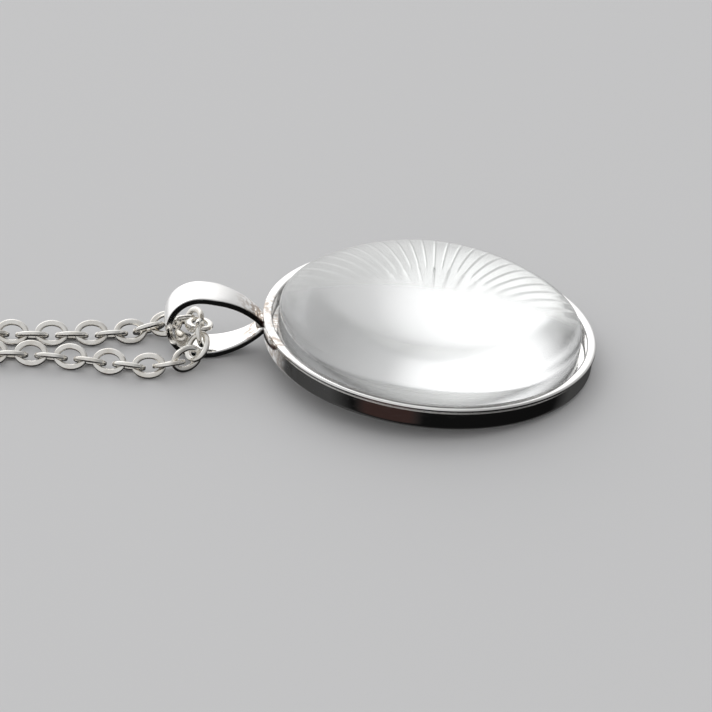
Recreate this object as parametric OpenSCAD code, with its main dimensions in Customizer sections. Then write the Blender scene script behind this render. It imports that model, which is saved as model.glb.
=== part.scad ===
// Glass-domed tray pendant with a ray burst, lying on a table with its cable chain through the bail.
// X runs from the clasp to the pendant, Y away from the viewer, Z up. The origin is on the table under
// the middle of the whole necklace.

/* [Tray] */
// Outside diameter of the tray's rim
tray_d = 27.5; // [27:0.1:28]
// Height of the tray's wall
tray_h = 2.12; // [1.9:0.02:2.4]
// Thickness of the wall at the rim
rim_t = 0.75; // [0.6:0.05:0.8]
// Thickness of the floor
floor_t = 0.75; // [0.65:0.05:0.8]
// Angle at which the tray lies, with its bail end raised
lean = 4.3; // [4.2:0.1:4.4]

/* [Ray burst] */
// Rays at the middle, doubled at each of two steps outward
ray_count = 32; // [24:2:36]
// Height of the rays on the floor
ray_h = 0.15; // [0.1:0.01:0.16]
// Depth of the rays pressed into the back
ray_groove = 0.12; // [0.05:0.01:0.14]

/* [Glass] */
// Diameter of the glass dome
glass_d = 25; // [24.5:0.1:25.4]
// Height of the top of the dome above the tray's back
glass_top = 7.5; // [7:0.1:8]
// Radius of the dome's round top
glass_r = 20.1; // [19:0.1:21]
// Radius of the dome's shoulder
shoulder_r = 1; // [0.5:0.1:1.2]

/* [Bail] */
// Outside radius of the bail's round end
bail_r = 2.85; // [2.8:0.01:2.9]
// Distance from the middle of the round end to the point where the strip's sides meet
bail_reach = 5.9; // [5.8:0.05:6]
// Thickness of the strip
bail_t = 0.6; // [0.5:0.05:0.65]
// Width of the strip round its end
bail_w = 3.05; // [2.8:0.05:3.1]
// Width of the strip at the tray
neck_w = 1.7; // [1.5:0.1:2]
// Angle that the bail is turned from the tray's own middle line
bail_turn = 7; // [6:0.5:8]

/* [Chain] */
// Thickness of the links' wire at the sides
wire_d = 0.4; // [0.38:0.01:0.42]
// Distance from link to link
pitch = 1.64; // [1.62:0.01:1.66]
// Outside length of a link
link_l = 2.82; // [2.8:0.01:2.86]
// Outside width of a link
link_w = 2.2; // [2.16:0.01:2.22]

/* [Clasp] */
// Length of the clasp
clasp_l = 10.2; // [10:0.1:10.4]
// Thickness of the clasp's body
clasp_t = 2.2; // [2:0.1:2.6]
// Outside diameter of the jump rings beside the clasp
ring_d = 3.6; // [3.5:0.1:3.8]
// Diameter of the jump rings' wire
ring_wire_d = 0.6; // [0.5:0.05:0.6]

/* [Hidden] */
silver = [0.87, 0.87, 0.86];
warm_silver = [0.85, 0.83, 0.79];
clear = [0.9, 0.94, 0.96, 0.4];
$fn = 96;
link_sides = 40;

// Where the middle of the tray stands on the table
tray_place = [88, 1.85, 0];

// The tray's wall, its foot and the fine groove under its rim
tray_r = tray_d / 2;
rim_in_r = tray_r - rim_t;
rim_step = 0.15;
wall_r = tray_r - rim_step;
edge_r = 0.5;
foot_in_r = 12.7;
foot_top = 0.6;
groove_in = 0.1;
groove_low = 1.6;
groove_high = 1.72;
rim_low = 1.82;
rim_edge = 0.08;
back_level = 0.05;

// The tray rests on the lowest point of its rounded lower edge, opposite the bail
tray_lift = (wall_r - edge_r) * sin(lean) - edge_r * cos(lean) + edge_r;

// Rings of points of the floor, from the middle outward
RADIUS = 0;
POINTS = 1;
RAYED = 2;
floor_rings = [
    [1.0, 2 * ray_count, 0],
    [2.2, 2 * ray_count, 1],
    [5.0, 2 * ray_count, 1],
    [5.5, 4 * ray_count, 1],
    [11.0, 4 * ray_count, 1],
    [11.3, 8 * ray_count, 1],
    [12.2, 8 * ray_count, 1],
    [12.3, 4 * ray_count, 0],
    [12.4, 2 * ray_count, 0],
    [13.3, 2 * ray_count, 0]
];

// The glass dome stands just above the rays
dome_r = glass_d / 2;
glass_gap = 0.1;
glass_base = floor_t + ray_h + glass_gap;
glass_middle = glass_top - glass_r;
shoulder_x = dome_r - shoulder_r;
shoulder_z = glass_middle + sqrt(pow(glass_r - shoulder_r, 2) - pow(shoulder_x, 2));
cap_x = shoulder_x * glass_r / (glass_r - shoulder_r);

// The bail's middle line is level with the tray's back, and its round end comes down near the table
bail_x = -18.92;
bail_y = -0.25;
bail_clear = 0.04;
bail_z = (bail_r + bail_clear - tray_lift + bail_x * sin(lean)) / cos(lean);
side_r = (bail_reach * bail_reach + bail_r * bail_r) / (2 * bail_r);
bail_cut_r = 13.2;
full_w_to = 1.4;
solder_r = 0.75;
solder_y = 0.4;

// A link is a ring of wire drawn out to an oval, which makes the wire of its two ends stouter
oval = link_l / link_w;
link_r = (link_w - wire_d) / 2;
link_half_l = link_r * oval;

// Along the strands a flatter, lower link and a steeper, higher one take turns. Toward the clasp they
// all ease to one angle and height.
turn = 45;
flat_turn = 38;
steep_turn = 55;
flat_drop = 0.1;
steep_lift = 0.1;
link_z = 0.86;

// Joints of the links that go through the bail, from the far strand to the near one, measured from
// the middle of the tray. A link lies between each joint and the next, rolled by the first one's angle.
ROLL = 3;
bail_joints = [
    [-25.35, 0.65, 0.86, 45],
    [-23.85, 1.20, 0.86, -45],
    [-22.45, 1.85, 0.95, 45],
    [-21.05, 2.30, 1.25, -35],
    [-19.75, 2.00, 1.75, 65],
    [-18.95, 0.80, 2.20, -5],
    [-18.60, -0.70, 2.40, -75],
    [-18.60, -2.20, 2.20, 15],
    [-18.95, -3.30, 1.25, -80],
    [-20.20, -4.15, 0.95, 28],
    [-21.75, -4.70, 0.90, -45],
    [-23.40, -4.90, 0.86, 0]
];

// Routes of the two strands from there to the clasp, measured from the middle of the tray
far_route = [
    [-25.35, 0.65], [-28, 0.15], [-31, -0.1], [-35, -0.2], [-45, 1.2], [-60, 7.5], [-85, 21.5],
    [-115, 33], [-145, 35.5], [-170, 27], [-184, 13.5], [-187.5, 4.5]
];
near_route = [
    [-23.4, -4.9], [-26.5, -4.4], [-30, -3.85], [-35, -3.7], [-45, -5], [-60, -11.2], [-85, -25.2],
    [-115, -36.7], [-145, -39.2], [-170, -30.7], [-184, -17.2], [-187.5, -8.2]
];

// Each strand's last joints rise to the jump rings, which stand on edge beside the clasp
ring_turn = 55;
ring_r = (ring_d - ring_wire_d) / 2;
table_gap = 0.02;
ring_z = ring_r * sin(ring_turn) + ring_wire_d / 2 + table_gap;
rise = ring_z - link_z;
rise_links = 4;

// The clasp is a thin plate with a hook's round opening and an eye, and a thicker body between them
plate_low = 1.2;
plate_t = 0.65;
hook_hole_r = 1.6;
hook_wall = 0.7;
eye_hole_r = 1;
eye_wall = 0.65;
body_start = 5.6;
body_end = 8.4;

// Points of a smooth curve through a route's points, a third end point being added at each end
steps = 12;
function with_ends(p) = let (n = len(p)) concat([2 * p[0] - p[1]], p, [2 * p[n - 1] - p[n - 2]]);
function curve_point(p, k, t) =
    0.5 * (2 * p[k] + (p[k + 1] - p[k - 1]) * t
    + (2 * p[k - 1] - 5 * p[k] + 4 * p[k + 1] - p[k + 2]) * t * t
    + (3 * p[k] - p[k - 1] - 3 * p[k + 1] + p[k + 2]) * t * t * t);
function curve(p) = let (q = with_ends(p), n = len(p))
    [for (i = [0 : steps * (n - 1)]) let (k = min(floor(i / steps), n - 2))
        curve_point(q, k + 1, i / steps - k)];
function distances(c) =
    [for (i = 0, d = 0; i < len(c); i = i + 1, d = d + (i < len(c) ? norm(c[i] - c[i - 1]) : 0)) d];

// Joints at equal distances along a route
function strand(p) =
    let (
        c = curve(p),
        d = distances(c),
        length = d[len(d) - 1],
        count = round(length / pitch),
        x_at = [for (i = [0 : len(c) - 1]) [d[i], c[i][0]]],
        y_at = [for (i = [0 : len(c) - 1]) [d[i], c[i][1]]]
    )
    [for (k = [0 : count])
        let (s = length * k / count, lift = max(0, 1 - (count - k) / rise_links))
        [lookup(s, x_at), lookup(s, y_at), link_z + rise * lift * lift]];

far_joints = strand(far_route);
near_joints = strand(near_route);
far_end = far_joints[len(far_joints) - 1];
near_end = near_joints[len(near_joints) - 1];
ring_slack = 0.2;
ring_overlap = link_half_l - pitch / 2 + ring_slack;
clasp_gap = far_end[1] - near_end[1];

module on_table() {
    translate(tray_place) children();
}

module in_tray() {
    on_table() translate([0, 0, tray_lift]) rotate([0, lean, 0]) children();
}

// From the end of the far strand, with X toward the end of the near strand
module at_clasp() {
    on_table() translate([far_end[0], far_end[1], 0]) rotate([0, 0, -90]) children();
}

// Half section of the tray's wall, with its rounded lower edge, fine groove and eased rim
module wall_section() {
    translate([wall_r - edge_r, edge_r]) circle(r = edge_r);
    polygon([
        [foot_in_r, 0], [wall_r - edge_r, 0], [wall_r - edge_r, edge_r], [wall_r, edge_r],
        [wall_r, groove_low], [wall_r - groove_in, groove_low], [wall_r - groove_in, groove_high],
        [wall_r, groove_high], [tray_r, rim_low], [tray_r, tray_h - rim_edge],
        [tray_r - rim_edge, tray_h], [rim_in_r + rim_edge, tray_h], [rim_in_r, tray_h - rim_edge],
        [rim_in_r, foot_top], [foot_in_r, foot_top]
    ]);
}

// The floor: a plate with the rays standing on it and pressed into its back, in one mesh
function ring_start(k) = k == 0 ? 0 : ring_start(k - 1) + floor_rings[k - 1][POINTS];
function ring_points(flat_z, ray_z) =
    [for (ring = floor_rings, i = [0 : ring[POINTS] - 1])
        let (a = 360 * i / ring[POINTS], z = i % 2 == 0 ? flat_z + ring[RAYED] * ray_z : flat_z)
        [ring[RADIUS] * cos(a), ring[RADIUS] * sin(a), z]];
// Triangles between rings a and b, of which one may have twice the points of the other
function wrap(k, i) = ring_start(k) + (i + floor_rings[k][POINTS]) % floor_rings[k][POINTS];
function band(k) =
    let (a = floor_rings[k][POINTS], b = floor_rings[k + 1][POINTS])
    a == b ? [for (i = [0 : a - 1]) each [
        [wrap(k, i), wrap(k + 1, i), wrap(k + 1, i + 1)],
        [wrap(k, i), wrap(k + 1, i + 1), wrap(k, i + 1)]]]
    : b > a ? [for (i = [0 : a - 1]) each [
        [wrap(k, i), wrap(k + 1, 2 * i), wrap(k + 1, 2 * i + 1)],
        [wrap(k, i), wrap(k + 1, 2 * i + 1), wrap(k, i + 1)],
        [wrap(k, i + 1), wrap(k + 1, 2 * i + 1), wrap(k + 1, 2 * i + 2)]]]
    : [for (i = [0 : b - 1]) each [
        [wrap(k, 2 * i), wrap(k + 1, i), wrap(k, 2 * i + 1)],
        [wrap(k, 2 * i + 1), wrap(k + 1, i), wrap(k + 1, i + 1)],
        [wrap(k, 2 * i + 1), wrap(k + 1, i + 1), wrap(k, 2 * i + 2)]]];

module floor_plate() {
    last = len(floor_rings) - 1;
    n = ring_start(last) + floor_rings[last][POINTS];
    front = [for (k = [0 : last - 1]) each band(k)];
    middle = [for (i = [1 : floor_rings[0][POINTS] - 2]) [0, i, i + 1]];
    top = concat(front, middle);
    back = [for (t = top) [t[2] + n, t[1] + n, t[0] + n]];
    edge = [for (i = [0 : floor_rings[last][POINTS] - 1]) each [
        [wrap(last, i), wrap(last, i) + n, wrap(last, i + 1)],
        [wrap(last, i + 1), wrap(last, i) + n, wrap(last, i + 1) + n]]];
    polyhedron(
        points = concat(ring_points(floor_t, ray_h), ring_points(back_level, ray_groove)),
        faces = [for (t = concat(top, back, edge)) [t[2], t[1], t[0]]]);
}

// The bail's outline from the side: a round end whose sides run on as arcs to one point
module teardrop(inset) {
    circle(r = bail_r - inset);
    intersection() {
        translate([0, bail_r - side_r]) circle(r = side_r - inset);
        translate([0, side_r - bail_r]) circle(r = side_r - inset);
        translate([0, -bail_r]) square([bail_reach, 2 * bail_r]);
    }
}

// The bail's outline from above: full width round the end, narrowing to the neck
module bail_plan() {
    polygon([
        [-2 * bail_r, -bail_w / 2], [full_w_to, -bail_w / 2], [bail_reach, -neck_w / 2],
        [bail_reach, neck_w / 2], [full_w_to, bail_w / 2], [-2 * bail_r, bail_w / 2]
    ]);
}

module bail() {
    difference() {
        union() {
            translate([bail_x, bail_y, bail_z]) rotate([0, 0, bail_turn]) intersection() {
                rotate([90, 0, 0]) linear_extrude(2 * bail_w, center = true) difference() {
                    teardrop(0);
                    teardrop(bail_t);
                }
                translate([0, 0, -2 * bail_r]) linear_extrude(4 * bail_r) bail_plan();
            }
            translate([-wall_r, solder_y, bail_z]) sphere(r = solder_r);
        }
        translate([0, 0, -bail_r]) cylinder(r = bail_cut_r, h = 3 * bail_r);
    }
}

module tray_and_bail() {
    color(silver) in_tray() union() {
        rotate_extrude() wall_section();
        floor_plate();
        bail();
    }
}

// Half section of the glass: a straight girdle, a rounded shoulder and a round top
module glass_section() {
    translate([0, glass_base]) square([dome_r, shoulder_z - glass_base]);
    translate([shoulder_x, shoulder_z]) circle(r = shoulder_r);
    intersection() {
        translate([0, glass_middle]) circle(r = glass_r);
        translate([0, shoulder_z]) square([cap_x, glass_top]);
    }
}

module glass_dome() {
    color(clear) in_tray() rotate_extrude() intersection() {
        glass_section();
        translate([0, glass_base]) square([dome_r, glass_top]);
    }
}

module link() {
    scale([oval, 1, 1]) rotate_extrude($fn = link_sides) translate([link_r, 0])
        circle(d = wire_d, $fn = link_sides);
}

module link_between(a, b, roll) {
    d = b - a;
    translate((a + b) / 2) rotate([roll, -atan2(d[2], norm([d[0], d[1]])), atan2(d[1], d[0])]) link();
}

module strand_link(joints, k) {
    flat = k % 2 == 0;
    ease = min(1, (len(joints) - 2 - k) / rise_links);
    translate([0, 0, flat ? -ease * flat_drop : ease * steep_lift])
        link_between(joints[k], joints[k + 1],
            flat ? turn + ease * (flat_turn - turn) : -turn - ease * (steep_turn - turn));
}

function joint(row) = [row[0], row[1], row[2]];

module chain() {
    color(warm_silver) on_table() {
        for (k = [0 : len(bail_joints) - 2])
            link_between(joint(bail_joints[k]), joint(bail_joints[k + 1]), bail_joints[k][ROLL]);
        for (joints = [far_joints, near_joints], k = [0 : len(joints) - 2])
            strand_link(joints, k);
    }
}

module jump_ring(x) {
    color(silver) at_clasp() translate([x, 0, ring_z]) rotate([ring_turn, 0, 0])
        rotate_extrude() translate([ring_r, 0]) circle(d = ring_wire_d);
}

module end_ring() {
    jump_ring(ring_r - ring_overlap);
}

module clasp_ring() {
    jump_ring(clasp_gap - ring_r + ring_overlap);
}

module clasp() {
    start = (clasp_gap - clasp_l) / 2;
    hook_x = start + hook_wall + hook_hole_r;
    eye_x = start + clasp_l - eye_wall - eye_hole_r;
    hook_w = hook_hole_r + hook_wall;
    eye_w = eye_hole_r + eye_wall;
    color(silver) at_clasp() difference() {
        union() {
            translate([hook_x, 0, plate_low]) cylinder(r = hook_w, h = plate_t);
            translate([eye_x, 0, plate_low]) cylinder(r = eye_w, h = plate_t);
            translate([0, 0, plate_low]) linear_extrude(plate_t)
                polygon([[hook_x, -hook_w], [eye_x, -eye_w], [eye_x, eye_w], [hook_x, hook_w]]);
            translate([body_start, -eye_w, 0]) cube([body_end - body_start, 2 * eye_w, clasp_t]);
        }
        translate([hook_x, 0, 0]) cylinder(r = hook_hole_r, h = clasp_t);
        translate([eye_x, 0, 0]) cylinder(r = eye_hole_r, h = clasp_t);
    }
}

tray_and_bail();
glass_dome();
chain();
end_ring();
clasp_ring();
clasp();
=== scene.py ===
# Glass-domed tray pendant with a ray burst, lying with its cable chain through the bail.
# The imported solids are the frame. Each section below is one piece of the necklace, in the order in
# which it is put together. Lengths are in millimetres until a mesh is made, and angles in degrees.
import math

import bmesh
import bpy
from mathutils import Matrix, Vector, noise


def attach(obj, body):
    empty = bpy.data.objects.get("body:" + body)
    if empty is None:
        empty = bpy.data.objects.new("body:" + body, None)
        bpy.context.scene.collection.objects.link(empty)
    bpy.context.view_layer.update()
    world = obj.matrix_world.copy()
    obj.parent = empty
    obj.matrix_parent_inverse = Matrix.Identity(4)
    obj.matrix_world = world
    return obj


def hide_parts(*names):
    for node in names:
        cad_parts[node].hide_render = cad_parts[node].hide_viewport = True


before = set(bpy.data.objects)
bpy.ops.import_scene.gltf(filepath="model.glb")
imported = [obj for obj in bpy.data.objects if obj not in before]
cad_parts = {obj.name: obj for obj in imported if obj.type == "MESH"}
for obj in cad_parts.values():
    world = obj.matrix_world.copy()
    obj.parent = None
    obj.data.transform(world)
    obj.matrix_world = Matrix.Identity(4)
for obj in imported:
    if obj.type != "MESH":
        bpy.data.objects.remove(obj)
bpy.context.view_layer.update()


# Camera
# It stands straight in front of the tray and looks down at it and at the bail beside it, through a
# long lens, and is held a little off level, as the photograph's was.
mm = 0.001
tray_place = Vector((88.0, 1.85, 0.0))
frame_middle = Vector((82.16, 1.73, 0.0))
view_elevation = 28.82
view_roll = 1.74
view_distance = 300
lens_mm = 183.7
sensor_mm = 36

up_angle = math.radians(view_elevation)
backward = Vector((0, -math.cos(up_angle), math.sin(up_angle)))
camera_data = bpy.data.cameras.new("camera")
camera_data.sensor_width = sensor_mm
camera_data.lens = lens_mm
camera_data.clip_start = mm
camera = bpy.data.objects.new("camera", camera_data)
camera.location = (tray_place + backward * view_distance) * mm
level = (frame_middle * mm - camera.location).to_track_quat("-Z", "Y")
roll = Matrix.Rotation(math.radians(view_roll), 4, "Z").to_quaternion()
camera.rotation_mode = "QUATERNION"
camera.rotation_quaternion = level @ roll
bpy.context.scene.collection.objects.link(camera)
bpy.context.scene.camera = camera
bpy.context.scene.view_settings.view_transform = "Standard"


# Plated tray
# The tray is stamped from one round blank: a low upright wall with a rolled rim and a fine groove
# below it, and a floor in which a burst of rays is raised, so that the same rays show on its back.
# It is polished and plated with bright silver.
rim_r = 13.75
rim_in_r = 13.0
rim_round = 0.16
rim_low = 1.82
rim_under = 0.03
wall_r = 13.6
wall_h = 2.12
wall_middle = 1.1
groove_low = 1.6
groove_high = 1.72
groove_in = 0.07
bevel = 0.02
edge_r = 0.5
foot_in_r = 12.7
foot_bevel = 0.03
back_level = 0.05
floor_t = 0.75
floor_r = 12.6
fillet_r = 0.12
lean = 4.3
ray_h = 0.06
ray_groove = 0.06
# Zones of rays: where they begin, where they are full, how many there are, and where they end
ray_zones = [(0.95, 2.2, 32, 5.0), (5.0, 5.5, 64, 11.0), (11.0, 11.35, 128, 12.25)]
ray_radii = [0.5, 0.95, 1.5, 2.2, 3.5, 5.0, 5.1, 5.5, 7.5, 9.5, 11.0, 11.1, 11.35, 12.25, 12.35]
ray_fade = 0.1
ray_ridge = 0.15
round_steps = 1280
plate_colour = (0.955, 0.95, 0.94, 1)
plate_smooth = 0.08
plate_rubbed = 0.18
# Brown of the tarnish round the solder, also used for the painted reflection on the wall
tarnish_and_reflection_colour = (0.36, 0.27, 0.2, 1)
flux_place = Vector((-14.0, 0.3, 0.9))
flux_full = 0.8
flux_end = 3.0
# Painted reflection: brown blotches on the wall's left front, with their place, where they are full,
# where they end and how strong they are
reflection_mottle_place = Vector((-12.6, -5.2, 0.9))
reflection_mottle_full = 1.0
reflection_mottle_end = 5.0
reflection_mottle_most = 0.75
faint_clouds = 0.06

lean_angle = math.radians(lean)
tray_lift = (wall_r - edge_r) * math.sin(lean_angle) - edge_r * math.cos(lean_angle) + edge_r
lifted = Matrix.Translation(tray_place + Vector((0, 0, tray_lift)))
in_tray = lifted @ Matrix.Rotation(lean_angle, 4, "Y")


def arc(x, z, r, start, end, count):
    """Points of an arc in the plane of a half section."""
    angles = [math.radians(start + (end - start) * i / count) for i in range(count + 1)]
    return [(x + r * math.cos(a), z + r * math.sin(a)) for a in angles]


def turned(section, count):
    """Points and faces of a half section turned about Z, from the top's middle round to the
    bottom's. A height may be a function of the part of a turn."""
    points, rows, faces = [], [], []
    for r, z in section:
        around = count if r else 1
        rows.append((len(points), around))
        for i in range(around):
            a = 2 * math.pi * i / count
            points.append((r * math.cos(a), r * math.sin(a), z(i / count) if callable(z) else z))
    for (a, na), (b, nb) in zip(rows, rows[1:]):
        for i in range(count):
            j = (i + 1) % count
            corners = [a + i % na, b + i % nb, b + j % nb, a + j % na]
            faces.append(list(dict.fromkeys(corners)))
    return points, faces


def add_piece(name, points, faces, finish, slot, pose=Matrix(), crease=35):
    """A mesh of points in millimetres, put where pose says, that moves with the necklace. It is
    shaded smooth, except at edges that turn by more than crease."""
    mesh = bpy.data.meshes.new(name)
    mesh.from_pydata([pose @ Vector(p) * mm for p in points], [], faces)
    shape = bmesh.new()
    shape.from_mesh(mesh)
    bmesh.ops.recalc_face_normals(shape, faces=shape.faces)
    shape.to_mesh(mesh)
    shape.free()
    mesh.shade_smooth()
    mesh.set_sharp_from_angle(angle=math.radians(crease))
    mesh.materials.append(finish)
    piece = bpy.data.objects.new(name, mesh)
    bpy.context.scene.collection.objects.link(piece)
    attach(piece, "root")
    return piece


def clamped(part):
    """A part of a whole, kept between 0 and 1."""
    return min(max(part, 0), 1)


def ray_height(r, turn):
    """The burst from 0 to 1: narrow crests, which double in number at two steps outward."""
    height = 0
    for begin, full, rays, end in ray_zones:
        rise = clamped((r - begin) / (full - begin))
        fall = clamped((end + ray_fade - r) / ray_fade)
        away = min(turn * rays % 1, 1 - turn * rays % 1) / ray_ridge
        crest = (1 + math.cos(math.pi * min(away, 1))) / 2
        height = max(height, rise * fall * crest)
    return height


def rayed(level, height):
    """The rings of the burst at a level of the tray, with crests of that height."""
    return [(r, lambda turn, r=r: level + height * ray_height(r, turn)) for r in ray_radii]


def add_node(tree, kind, sockets, **settings):
    """A node with its settings and its sockets. A socket given another socket is linked to it."""
    node = tree.nodes.new(kind)
    for name, value in settings.items():
        setattr(node, name, value)
    for name, value in sockets.items():
        if isinstance(value, bpy.types.NodeSocket):
            tree.links.new(value, node.inputs[name])
        else:
            node.inputs[name].default_value = value
    return node


def reckoned(tree, operation, a, b):
    """A sum, product or the like of two values."""
    return add_node(tree, "ShaderNodeMath", {0: a, 1: b}, operation=operation).outputs["Value"]


def measured(tree, operation, a, b):
    """The distance between two places, or how nearly one direction lies in another."""
    node = add_node(tree, "ShaderNodeVectorMath", {0: a, 1: b}, operation=operation)
    return node.outputs["Value"]


def ramped(tree, value, low, high, start=0.0, end=1.0):
    """A value that goes from start to end as another one goes from low to high."""
    sockets = {"Value": value, "From Min": low, "From Max": high, "To Min": start, "To Max": end}
    return add_node(tree, "ShaderNodeMapRange", sockets, clamp=True).outputs["Result"]


def between(tree, part, first, second):
    """A value between two others, by a part from 0 to 1."""
    return ramped(tree, part, 0.0, 1.0, first, second)


def blended(tree, part, first, second):
    """A colour between two others, by a part from 0 to 1."""
    mix = add_node(tree, "ShaderNodeMix", {0: part, 6: first, 7: second}, data_type="RGBA")
    return mix.outputs[2]


def noisy(tree, place, scale, detail, roughness=0.5):
    """Smooth noise over a place."""
    sockets = {"Vector": place, "Scale": scale, "Detail": detail, "Roughness": roughness}
    return add_node(tree, "ShaderNodeTexNoise", sockets).outputs["Fac"]


def bumped(tree, height, strength, depth):
    """Normals of a surface with small heights on it."""
    sockets = {"Strength": strength, "Distance": depth, "Height": height}
    return add_node(tree, "ShaderNodeBump", sockets).outputs["Normal"]


def new_finish(name):
    """An empty material with its Principled shader."""
    finish = bpy.data.materials.new(name)
    finish.use_nodes = True
    return finish, finish.node_tree, finish.node_tree.nodes["Principled BSDF"]


# Rubbing from wear: soft clouds, fine hairlines and a slight unevenness, by the place on the piece
rubbing = bpy.data.node_groups.new("rubbing", "ShaderNodeTree")
for name, kind in (("Size", "NodeSocketFloat"), ("Stretch", "NodeSocketVector")):
    rubbing.interface.new_socket(name, in_out="INPUT", socket_type=kind)
for name in ("Clouds", "Hairlines", "Height"):
    rubbing.interface.new_socket(name, in_out="OUTPUT", socket_type="NodeSocketFloat")
given = rubbing.nodes.new("NodeGroupInput").outputs
result = rubbing.nodes.new("NodeGroupOutput").inputs
place = add_node(rubbing, "ShaderNodeTexCoord", {}).outputs["Object"]
unevenness = noisy(rubbing, place, given["Size"], detail=5.0, roughness=0.6)
stretching = {0: place, 1: given["Stretch"]}
stretched = add_node(rubbing, "ShaderNodeVectorMath", stretching, operation="MULTIPLY")
lines = noisy(rubbing, stretched.outputs["Vector"], scale=1.0, detail=3.0, roughness=0.7)
rubbing.links.new(ramped(rubbing, unevenness, low=0.42, high=0.7), result["Clouds"])
rubbing.links.new(ramped(rubbing, lines, low=0.5, high=0.72), result["Hairlines"])
rubbing.links.new(unevenness, result["Height"])


def rubbed(tree, size, stretch):
    """The rubbing group in a material, at its own size."""
    node = add_node(tree, "ShaderNodeGroup", {}, node_tree=rubbing)
    node.inputs["Size"].default_value = size
    node.inputs["Stretch"].default_value = stretch
    return node.outputs


# Bright silver plate: speckled brown round the bail's solder, and brown blotches on the wall beside
# it, which are a painted mottled reflection
plated_silver, tree, plate = new_finish("plated_silver_finish")
wear = rubbed(tree, size=420, stretch=(900, 900, 5200))
position = add_node(tree, "ShaderNodeNewGeometry", {}).outputs["Position"]
from_solder = measured(tree, "DISTANCE", position, in_tray @ flux_place * mm)
near_solder = ramped(tree, from_solder, flux_full * mm, flux_end * mm, start=1.0, end=0.0)
speckles = ramped(tree, noisy(tree, position, scale=2600.0, detail=4.0), low=0.42, high=0.57)
flux = reckoned(tree, "MULTIPLY", near_solder, speckles)
# Painted reflection: brown blotches on the wall's left front stand in for a mottled reflection of
# things near it
from_reflection_mottle = measured(tree, "DISTANCE", position, in_tray @ reflection_mottle_place * mm)
near_reflection_mottle = ramped(tree, from_reflection_mottle, reflection_mottle_full * mm, reflection_mottle_end * mm, start=reflection_mottle_most, end=0.0)
reflection_blotches = ramped(tree, noisy(tree, position, scale=1100.0, detail=3.0), low=0.45, high=0.62)
painted_reflection_mottle = reckoned(tree, "MULTIPLY", near_reflection_mottle, reflection_blotches)
faint = reckoned(tree, "MULTIPLY", wear["Clouds"], faint_clouds)
# Real tarnish round the solder and faint wear, together with the painted reflection on the wall
tarnish_and_painted_reflection = reckoned(tree, "MAXIMUM", reckoned(tree, "MAXIMUM", flux, painted_reflection_mottle), faint)
gloss = between(tree, wear["Hairlines"], plate_smooth, plate_rubbed)
waves = bumped(tree, wear["Height"], strength=0.12, depth=0.02 * mm)
tree.links.new(blended(tree, tarnish_and_painted_reflection, plate_colour, tarnish_and_reflection_colour), plate.inputs["Base Color"])
tree.links.new(gloss, plate.inputs["Roughness"])
tree.links.new(waves, plate.inputs["Normal"])
plate.inputs["Metallic"].default_value = 1

tray_section = (
    [(0, floor_t)] + rayed(floor_t, ray_h) + [(floor_r, floor_t)]
    + arc(rim_in_r - fillet_r, floor_t + fillet_r, fillet_r, -90, 0, 4)
    + arc(rim_in_r + rim_round, wall_h - rim_round, rim_round, 180, 90, 6)
    + arc(rim_r - rim_round, wall_h - rim_round, rim_round, 90, 0, 6)
    + [(rim_r, rim_low + bevel), (rim_r - rim_under, rim_low), (wall_r, groove_high)]
    + [(wall_r - groove_in, groove_high - bevel), (wall_r - groove_in, groove_low + bevel)]
    + [(wall_r, groove_low), (wall_r, groove_low - 2 * bevel), (wall_r, wall_middle)]
    + arc(wall_r - edge_r, edge_r, edge_r, 0, -90, 9)
    + [(foot_in_r + foot_bevel, 0), (foot_in_r, foot_bevel), (foot_in_r - bevel, back_level)]
    + rayed(back_level, ray_groove)[::-1] + [(0, back_level)]
)
tray_skin = turned(tray_section, round_steps)
tray = add_piece("tray", *tray_skin, plated_silver, "plated_silver", in_tray)


# Bail
# A strip of the same metal, full width round its end and narrower at its neck, bent to a teardrop
# and soldered upright to the tray's wall. Its outside is slightly crowned and its edges are eased.
bail_r = 2.85
bail_reach = 5.9
bail_t = 0.6
bail_w = 3.05
neck_w = 1.7
full_w_to = 1.4
bail_turn = 7
bail_x = -18.92
bail_y = -0.25
bail_clear = 0.04
bail_crown = 0.07
bail_ease = 0.06
crown_steps = 6
leg_end = 0.3
solder_size = (0.72, 0.8, 0.68)
solder_y = 0.4
solder_uneven = 0.09
solder_lumps = 1.7

bail_z = (bail_r + bail_clear - tray_lift + bail_x * math.sin(lean_angle)) / math.cos(lean_angle)
side_r = (bail_reach ** 2 + bail_r ** 2) / (2 * bail_r)
bail_place = Matrix.Translation((bail_x, bail_y, bail_z))
in_bail = in_tray @ bail_place @ Matrix.Rotation(math.radians(bail_turn), 4, "Z")


def outward_arc(z, r, start, end, count):
    """Points of an arc of the strip's outside, each with its outward angle."""
    angles = [start + (end - start) * i / count for i in range(count + 1)]
    return [(*point, a) for point, a in zip(arc(0, z, r, start, end, count), angles)]


def bail_line():
    """The strip's outside from its lower leg round to its upper leg, as (x, z, outward angle)."""
    tip = math.degrees(math.acos((side_r - bail_r) / side_r))
    side = outward_arc(bail_r - side_r, side_r, 90, 90 - tip, 28)
    upper = [p for p in side if p[0] < bail_reach - leg_end]
    end = outward_arc(0, bail_r, 265, 95, 34)
    lower = [(x, -z, -a) for x, z, a in upper]
    return lower[::-1] + end + upper


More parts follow.
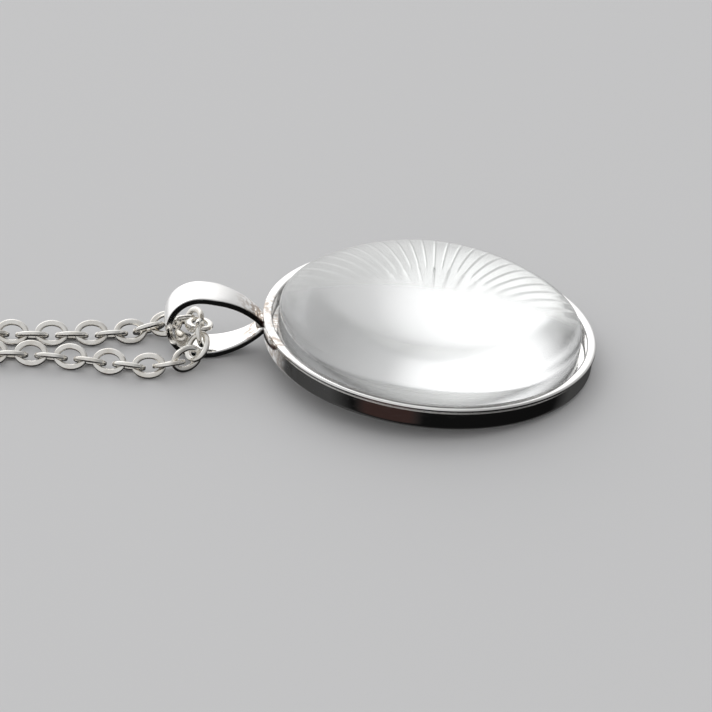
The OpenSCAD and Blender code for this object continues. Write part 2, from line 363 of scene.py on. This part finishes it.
def strip_ring(x, z, outward):
    """The strip's cross section at a point of its outside: a crowned bar with eased edges."""
    narrowed = clamped((x - full_w_to) / (bail_reach - full_w_to))
    half = (bail_w + (neck_w - bail_w) * narrowed) / 2
    flat = half - bail_ease
    ring = []
    corners = [(1, 0, 0, 90), (-1, 0, 90, 180), (-1, 1, 180, 270), (1, 1, 270, 360)]
    for side, inner, start, stop in corners:
        depth = bail_t - bail_ease if inner else bail_ease
        ring += arc(side * flat, -depth, bail_ease, start, stop, 4)
        if side == 1 - 2 * inner:
            run = [i / crown_steps for i in range(1, crown_steps)]
            ring += [(side * flat * (1 - 2 * t), -bail_t if inner else 0) for t in run]
    a = math.radians(outward)
    shaped = []
    for across, height in ring:
        height -= bail_crown * (across / half) ** 2 * (1 + height / bail_t)
        shaped.append((x + height * math.cos(a), across, z + height * math.sin(a)))
    return shaped


def lofted(rings, closed=False):
    """Points and faces of a skin over equal rings of points. It has flat ends or is closed."""
    count, around = len(rings), len(rings[0])
    points = [p for ring in rings for p in ring]
    ends = [range(around), range((count - 1) * around, count * around)]
    faces = [] if closed else [list(end) for end in ends]
    for k in range(count if closed else count - 1):
        a, b = k * around, (k + 1) % count * around
        faces += [(a + i, a + (i + 1) % around, b + (i + 1) % around, b + i) for i in range(around)]
    return points, faces


strip_rings = [strip_ring(*p) for p in bail_line()]
bail = add_piece("bail", *lofted(strip_rings), plated_silver, "plated_silver", in_bail)

half_round = [(0, 1)] + arc(0, 0, 1, 90, -90, 30)[1:-1] + [(0, -1)]
ball_points, ball_faces = turned(half_round, 48)
bead_points = []
for p in ball_points:
    swell = 1 + solder_uneven * noise.noise(Vector(p) * solder_lumps)
    bead_points.append([c * size * swell for c, size in zip(p, solder_size)])
bead_skin = (bead_points, ball_faces)
at_solder = in_tray @ Matrix.Translation((-wall_r, solder_y, bail_z))
solder = add_piece("bail_solder", *bead_skin, plated_silver, "plated_silver", at_solder)
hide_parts("tray_and_bail")
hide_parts("tray_and_bail")
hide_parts("tray_and_bail")


# Glass dome
# A clear pressed-glass cabochon with a straight girdle, a rounded shoulder and a low round top,
# fire-polished, and set over the rays. Its flat base is as the press left it, and a little matt.
dome_r = 12.5
glass_top = 7.5
glass_r = 20.1
shoulder_r = 1.0
glass_base = 1.0
base_ease = 0.12
base_rings = (12.0, 9.0, 5.0, 0)
below_shoulder = 0.4
above_ease = 0.3
dome_steps = 288
glass_tint = (0.925, 0.935, 0.935, 1)
glass_ior = 1.52
glass_rubbed = 0.035
base_matt = 0.14
matt_full = 0.02
matt_end = 0.1

glass_middle = glass_top - glass_r
shoulder_x = dome_r - shoulder_r
shoulder_z = glass_middle + math.sqrt((glass_r - shoulder_r) ** 2 - shoulder_x ** 2)
shoulder_angle = math.degrees(math.acos(shoulder_x / (glass_r - shoulder_r)))
glass_up = in_tray.to_3x3() @ Vector((0, 0, 1))
base_level = (in_tray @ Vector((0, 0, glass_base))).dot(glass_up)

clear_glass, tree, glass = new_finish("clear_glass_finish")
wear = rubbed(tree, size=260, stretch=(1400, 300, 300))
position = add_node(tree, "ShaderNodeNewGeometry", {}).outputs["Position"]
height = measured(tree, "DOT_PRODUCT", position, glass_up)
matt_from, matt_to = (base_level + matt_full) * mm, (base_level + matt_end) * mm
matt = ramped(tree, height, matt_from, matt_to, start=base_matt, end=0.0)
polish = between(tree, wear["Clouds"], 0.0, glass_rubbed)
waves = bumped(tree, wear["Height"], strength=0.02, depth=0.01 * mm)
tree.links.new(reckoned(tree, "MAXIMUM", matt, polish), glass.inputs["Roughness"])
tree.links.new(waves, glass.inputs["Normal"])
glass.inputs["Base Color"].default_value = glass_tint
glass.inputs["Transmission Weight"].default_value = 1
glass.inputs["IOR"].default_value = glass_ior
# Light is thrown back and forth many times between the glass and the silver below it
bpy.context.scene.cycles.glossy_bounces = 12

dome_section = (
    [(0, glass_top)] + arc(0, glass_middle, glass_r, 90, shoulder_angle, 40)[1:-1]
    + arc(shoulder_x, shoulder_z, shoulder_r, shoulder_angle, 0, 10)
    + [(dome_r, shoulder_z - below_shoulder), (dome_r, glass_base + base_ease + above_ease)]
    + arc(dome_r - base_ease, glass_base + base_ease, base_ease, 0, -90, 4)
    + [(r, glass_base) for r in base_rings]
)
dome = add_piece("dome", *turned(dome_section, dome_steps), clear_glass, "clear_glass", in_tray)
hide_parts("glass_dome")


# Cable chain
# Oval links of drawn wire, rolled a little flat, each soldered shut and turned across the next. One
# strand comes from behind, goes down through the bail and comes back in front of it.
wire_wide = 0.5
wire_high = 0.4
squareness = 0.65
pitch = 1.64
link_l = 2.82
link_w = 2.2
even_turn = 45
flat_turn = 38
steep_turn = 55
flat_drop = 0.1
steep_lift = 0.1
link_z = 0.86
around_link = 32
around_wire = 12
link_crease = 80
chain_colour = (0.93, 0.915, 0.88, 1)
chain_shade = (0.55, 0.48, 0.38, 1)
shade_most = 0.4
link_smooth = 0.11
link_rubbed = 0.24
# Where the links join on their way through the bail, and the roll of the link that starts there
bail_joints = [
    (-25.35, 0.65, 0.86, 45), (-23.85, 1.20, 0.86, -45), (-22.45, 1.85, 0.95, 45),
    (-21.05, 2.30, 1.25, -35), (-19.75, 2.00, 1.75, 65), (-18.95, 0.80, 2.20, -5),
    (-18.60, -0.70, 2.40, -75), (-18.60, -2.20, 2.20, 15), (-18.95, -3.30, 1.25, -80),
    (-20.20, -4.15, 0.95, 28), (-21.75, -4.70, 0.90, -45), (-23.40, -4.90, 0.86, 0),
]
# Each strand's way over the table, from the bail round to the jump rings
far_route = [
    (-25.35, 0.65), (-28, 0.15), (-31, -0.1), (-35, -0.2), (-45, 1.2), (-60, 7.5), (-85, 21.5),
    (-115, 33), (-145, 35.5), (-170, 27), (-184, 13.5), (-187.5, 4.5),
]
near_route = [
    (-23.4, -4.9), (-26.5, -4.4), (-30, -3.85), (-35, -3.7), (-45, -5), (-60, -11.2),
    (-85, -25.2), (-115, -36.7), (-145, -39.2), (-170, -30.7), (-184, -17.2), (-187.5, -8.2),
]
ring_turn = 55
ring_r = 1.5
ring_wire_d = 0.6
table_gap = 0.02
rise_links = 4
curve_steps = 12

ring_z = ring_r * math.sin(math.radians(ring_turn)) + ring_wire_d / 2 + table_gap
half_long = (link_l - wire_wide) / 2
half_wide = (link_w - wire_wide) / 2


def strand(route):
    """Joints at equal distances on a smooth curve through a route, which rises to its ring."""
    p = [Vector(q) for q in route]
    p = [2 * p[0] - p[1]] + p + [2 * p[-1] - p[-2]]
    curve = []
    for i in range(curve_steps * (len(route) - 1) + 1):
        k = min(i // curve_steps, len(route) - 2)
        t = i / curve_steps - k
        a, b, c, d = p[k:k + 4]
        bend, swing = 2 * a - 5 * b + 4 * c - d, 3 * b - a - 3 * c + d
        curve.append((2 * b + (c - a) * t + bend * t ** 2 + swing * t ** 3) / 2)
    distances = [0]
    for a, b in zip(curve, curve[1:]):
        distances.append(distances[-1] + (b - a).length)
    count = round(distances[-1] / pitch)
    joints, k = [], 0
    for n in range(count + 1):
        s = distances[-1] * n / count
        while k < len(curve) - 2 and distances[k + 1] < s:
            k += 1
        at = curve[k].lerp(curve[k + 1], (s - distances[k]) / (distances[k + 1] - distances[k]))
        lift = max(0, 1 - (count - n) / rise_links)
        joints.append(Vector((at.x, at.y, link_z + (ring_z - link_z) * lift * lift)))
    return joints


def link_pose(a, b, roll, shift=0):
    """Puts a link between two joints, turned about its length and shifted upward."""
    along = b - a
    heading = math.atan2(along.y, along.x)
    climb = math.atan2(along.z, math.hypot(along.x, along.y))
    return (
        Matrix.Translation(tray_place + (a + b) / 2 + Vector((0, 0, shift)))
        @ Matrix.Rotation(heading, 4, "Z") @ Matrix.Rotation(-climb, 4, "Y")
        @ Matrix.Rotation(math.radians(roll), 4, "X")
    )


def strand_poses(joints):
    """A strand's links: a flatter, lower one and a steeper, higher one in turn, which ease to one
    angle toward the ring."""
    poses = []
    for k, (a, b) in enumerate(zip(joints, joints[1:])):
        ease = min(1, (len(joints) - 2 - k) / rise_links)
        if k % 2 == 0:
            roll = even_turn + ease * (flat_turn - even_turn)
            poses.append(link_pose(a, b, roll, -ease * flat_drop))
        else:
            roll = even_turn + ease * (steep_turn - even_turn)
            poses.append(link_pose(a, b, -roll, ease * steep_lift))
    return poses


def flattened(part):
    """Moves a point of a circle outward, toward the square around it."""
    return math.copysign(abs(part) ** squareness, part)


def link_rings():
    """Rings of points of one link: an oval of wire that is wider than it is high."""
    rings = []
    for i in range(around_link):
        a = 2 * math.pi * i / around_link
        middle = Vector((half_long * math.cos(a), half_wide * math.sin(a), 0))
        out = Vector((math.cos(a) / half_long, math.sin(a) / half_wide, 0)).normalized()
        ring = []
        for k in range(around_wire):
            b = 2 * math.pi * (k + 0.5) / around_wire
            across = wire_wide / 2 * flattened(math.cos(b))
            height = wire_high / 2 * flattened(math.sin(b))
            ring.append(middle + out * across + Vector((0, 0, height)))
        rings.append(ring)
    return rings


def joined(skins):
    """Points and faces of several skins together."""
    points, faces = [], []
    for more_points, more_faces in skins:
        start = len(points)
        points += more_points
        faces += [[start + i for i in face] for face in more_faces]
    return points, faces


# Paler, rougher silver, with brown shade left in its unevenness
chain_silver, tree, link_metal = new_finish("chain_silver_finish")
wear = rubbed(tree, size=900, stretch=(2600, 2600, 2600))
shade = between(tree, wear["Clouds"], 0.0, shade_most)
gloss = between(tree, wear["Hairlines"], link_smooth, link_rubbed)
waves = bumped(tree, wear["Height"], strength=0.25, depth=0.02 * mm)
tree.links.new(blended(tree, shade, chain_colour, chain_shade), link_metal.inputs["Base Color"])
tree.links.new(gloss, link_metal.inputs["Roughness"])
tree.links.new(waves, link_metal.inputs["Normal"])
link_metal.inputs["Metallic"].default_value = 1

far_joints = strand(far_route)
near_joints = strand(near_route)
through_bail = [Vector(j[:3]) for j in bail_joints]
poses = [link_pose(a, b, j[3]) for a, b, j in zip(through_bail, through_bail[1:], bail_joints)]
poses += strand_poses(far_joints) + strand_poses(near_joints)
one_points, one_faces = lofted(link_rings(), closed=True)
chain_skin = joined([([pose @ p for p in one_points], one_faces) for pose in poses])
links = add_piece("chain_links", *chain_skin, chain_silver, "chain_silver", crease=link_crease)
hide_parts("chain")


# Jump rings and clasp
# The strands end in round jump rings. One is fixed in the eye of a lobster clasp and the other is
# caught in its hook. The clasp is cast in silver, with a sprung lever that shuts the hook.
ring_slack = 0.2
ring_cut = 2
ring_steps = 72
end_ring_cut_at = 62
clasp_ring_cut_at = -70
clasp_l = 10.2
hook_hole_r = 1.6
hook_wall = 0.7
hook_start = 26
hook_end = 292
eye_hole_r = 1.0
eye_wall = 0.65
body_start = 5.6
plate_low = 1.2
plate_t = 0.65
# Along the body: the distance from its start, the part of its full width, its lower and upper side
body_stations = [
    (-0.75, 0.62, 1.3, 1.75), (-0.5, 0.78, 1.1, 1.85), (-0.2, 0.9, 0.75, 1.95),
    (0.0, 0.95, 0.4, 2.08), (0.3, 0.98, 0.14, 2.16), (0.8, 1.0, 0.01, 2.19),
    (2.0, 1.0, 0.01, 2.19), (2.4, 0.95, 0.2, 2.12), (2.7, 0.84, 0.6, 2.0),
    (2.95, 0.7, 1.0, 1.86), (3.1, 0.55, 1.25, 1.8),
]
lever_start = 293.5
lever_end = 332
lever_thinner = 0.08
# Along the lever's tab: its place, its middle line, half its width, its lower and upper side
tab_stations = [
    (5.75, -1.55, 0.16, 1.22, 1.83), (5.5, -1.68, 0.27, 1.2, 1.85), (5.15, -1.78, 0.34, 1.2, 1.85),
    (4.85, -1.85, 0.3, 1.22, 1.83), (4.65, -1.82, 0.16, 1.3, 1.75),
]

ring_overlap = (link_w - wire_high) / 2 * link_l / link_w - pitch / 2 + ring_slack
far_end, near_end = far_joints[-1], near_joints[-1]
clasp_gap = far_end.y - near_end.y
clasp_place = Matrix.Translation(tray_place + Vector((far_end.x, far_end.y, 0)))
at_clasp = clasp_place @ Matrix.Rotation(math.radians(-90), 4, "Z")


def add_jump_ring(name, x, cut_at):
    """A ring of round wire bent shut, with the fine cut where its ends meet."""
    wire = arc(ring_r, 0, ring_wire_d / 2, 0, 340, 17)
    rings = []
    for i in range(ring_steps + 1):
        a = math.radians(cut_at + ring_cut / 2 + (360 - ring_cut) * i / ring_steps)
        out = Vector((math.cos(a), math.sin(a), 0))
        rings.append([out * r + Vector((0, 0, z)) for r, z in wire])
    tilt = Matrix.Rotation(math.radians(ring_turn), 4, "X")
    pose = at_clasp @ Matrix.Translation((x, 0, ring_z)) @ tilt
    return add_piece(name, *lofted(rings), chain_silver, "chain_silver", pose)


end_ring_x = ring_r - ring_overlap
clasp_ring_x = clasp_gap - ring_r + ring_overlap
end_jump_ring = add_jump_ring("end_jump_ring", end_ring_x, end_ring_cut_at)
clasp_jump_ring = add_jump_ring("clasp_jump_ring", clasp_ring_x, clasp_ring_cut_at)
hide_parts("end_ring")
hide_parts("clasp_ring")

clasp_start = (clasp_gap - clasp_l) / 2
hook_x = clasp_start + hook_wall + hook_hole_r
eye_x = clasp_start + clasp_l - eye_wall - eye_hole_r
hook_mid_r = hook_hole_r + hook_wall / 2
eye_mid_r = eye_hole_r + eye_wall / 2
body_half_w = eye_hole_r + eye_wall
plate_mid = plate_low + plate_t / 2


def bow(x, r, half_w, start, end, count):
    """Rings of points of a round bow of oval wire about a point of the clasp's middle line."""
    section = arc(0, 0, 1, 0, 337.5, 15)
    rings = []
    for i in range(count + 1):
        a = math.radians(start + (end - start) * i / count)
        out = Vector((math.cos(a), math.sin(a), 0))
        middle = Vector((x, 0, plate_mid)) + out * r
        ring = [middle + out * (half_w * p) + Vector((0, 0, plate_t / 2 * q)) for p, q in section]
        rings.append(ring)
    return rings


def bar_ring(x, middle_y, half_w, low, high):
    """A ring of points across the clasp: a bar with full, rounded sides."""
    ring = []
    for p, q in arc(0, 0, 1, 0, 347, 27):
        y = middle_y + half_w * flattened(p)
        ring.append(Vector((x, y, (high + low) / 2 + (high - low) / 2 * flattened(q))))
    return ring


body_rings = []
for x, part, low, high in body_stations:
    body_rings.append(bar_ring(body_start + x, 0, body_half_w * part, low, high))
frame_skins = [
    lofted(bow(hook_x, hook_mid_r, hook_wall / 2, hook_start, hook_end, 60)),
    lofted(bow(eye_x, eye_mid_r, eye_wall / 2, 0, 354, 59), closed=True),
    lofted(body_rings),
]
lever_skins = [
    lofted(bow(hook_x, hook_mid_r, hook_wall / 2 - lever_thinner, lever_start, lever_end, 14)),
    lofted([bar_ring(*station) for station in tab_stations]),
]
clasp_frame = add_piece("clasp_frame", *joined(frame_skins), chain_silver, "chain_silver", at_clasp)
clasp_lever = add_piece("clasp_lever", *joined(lever_skins), chain_silver, "chain_silver", at_clasp)
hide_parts("clasp")
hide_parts("clasp")


# Table
# A wide surface covered with pale, fine matt paper, on which the necklace lies. It isn't part of
# the necklace, and is left out of the metal's reflections, in which the room below is seen instead.
table_size = 6000
table_colour = (0.73, 0.73, 0.737, 1)
paper_rough = 0.7

table_paper, tree, paper = new_finish("table_paper")
place = add_node(tree, "ShaderNodeTexCoord", {}).outputs["Object"]
fibres = noisy(tree, place, scale=900.0, detail=3.0)
grain = bumped(tree, fibres, strength=0.04, depth=0.02 * mm)
tree.links.new(grain, paper.inputs["Normal"])
paper.inputs["Base Color"].default_value = table_colour
paper.inputs["Roughness"].default_value = paper_rough
table_mesh = bpy.data.meshes.new("table")
half = table_size / 2 * mm
table_corners = [(-half, -half, 0), (half, -half, 0), (half, half, 0), (-half, half, 0)]
table_mesh.from_pydata(table_corners, [], [(0, 1, 2, 3)])
table_mesh.materials.append(table_paper)
table = bpy.data.objects.new("table", table_mesh)
bpy.context.scene.collection.objects.link(table)
table.visible_glossy = False


# Studio light
# A white tent all round, dimmer at the right, with a large soft light behind at the left. Below the
# table's level the room is pale behind, dim at the left, and dark in front but for a warm patch.
tent_behind = 0.77
tent_in_front = 0.62
tent_at_right = 0.5
soft_light = 0.76
soft_light_toward = Vector((-0.45, 0.78, 0.46)).normalized()
soft_light_edge = 46
soft_light_core = 16
pale_behind = 0.6
dim_at_left = 0.05
dark_in_front = 0.005
warm_shade = 0.03
warm_toward = Vector((-0.39, -0.79, -0.482)).normalized()
warm_colour = (1, 0.58, 0.52, 1)
white = (1, 1, 1, 1)

room = bpy.data.worlds.new("room")
room.use_nodes = True
bpy.context.scene.world = room
tree = room.node_tree
toward = add_node(tree, "ShaderNodeTexCoord", {}).outputs["Generated"]
axes = add_node(tree, "ShaderNodeSeparateXYZ", {"Vector": toward}).outputs

tent_depth = ramped(tree, axes["Y"], low=-0.4, high=0.5, start=tent_in_front, end=tent_behind)
tent_width = ramped(tree, axes["X"], low=0.15, high=0.8, start=1.0, end=tent_at_right)
tent = reckoned(tree, "MULTIPLY", tent_depth, tent_width)
facing_light = measured(tree, "DOT_PRODUCT", toward, soft_light_toward)
light_edge = math.cos(math.radians(soft_light_edge))
light_core = math.cos(math.radians(soft_light_core))
light = ramped(tree, facing_light, light_edge, light_core, start=0.0, end=soft_light)
upper = reckoned(tree, "ADD", tent, light)

leftward = reckoned(tree, "SUBTRACT", axes["Y"], reckoned(tree, "MULTIPLY", axes["X"], 0.5))
dim = ramped(tree, leftward, low=-0.2, high=0.1, start=dark_in_front, end=dim_at_left)
pale = ramped(tree, leftward, low=0.78, high=0.95, start=0.0, end=pale_behind)
facing_warm = measured(tree, "DOT_PRODUCT", toward, warm_toward)
warm = ramped(tree, facing_warm, low=0.93, high=0.97)
warm_light = reckoned(tree, "MULTIPLY", warm, warm_shade)
lower = reckoned(tree, "ADD", reckoned(tree, "ADD", dim, pale), warm_light)

above = ramped(tree, axes["Z"], low=-0.34, high=-0.22)
below = reckoned(tree, "SUBTRACT", 1.0, above)
from_above = reckoned(tree, "MULTIPLY", upper, above)
from_below = reckoned(tree, "MULTIPLY", lower, below)
strength = reckoned(tree, "ADD", from_above, from_below)
tint = blended(tree, reckoned(tree, "MULTIPLY", warm, below), white, warm_colour)
tree.links.new(tint, tree.nodes["Background"].inputs["Color"])
tree.links.new(strength, tree.nodes["Background"].inputs["Strength"])
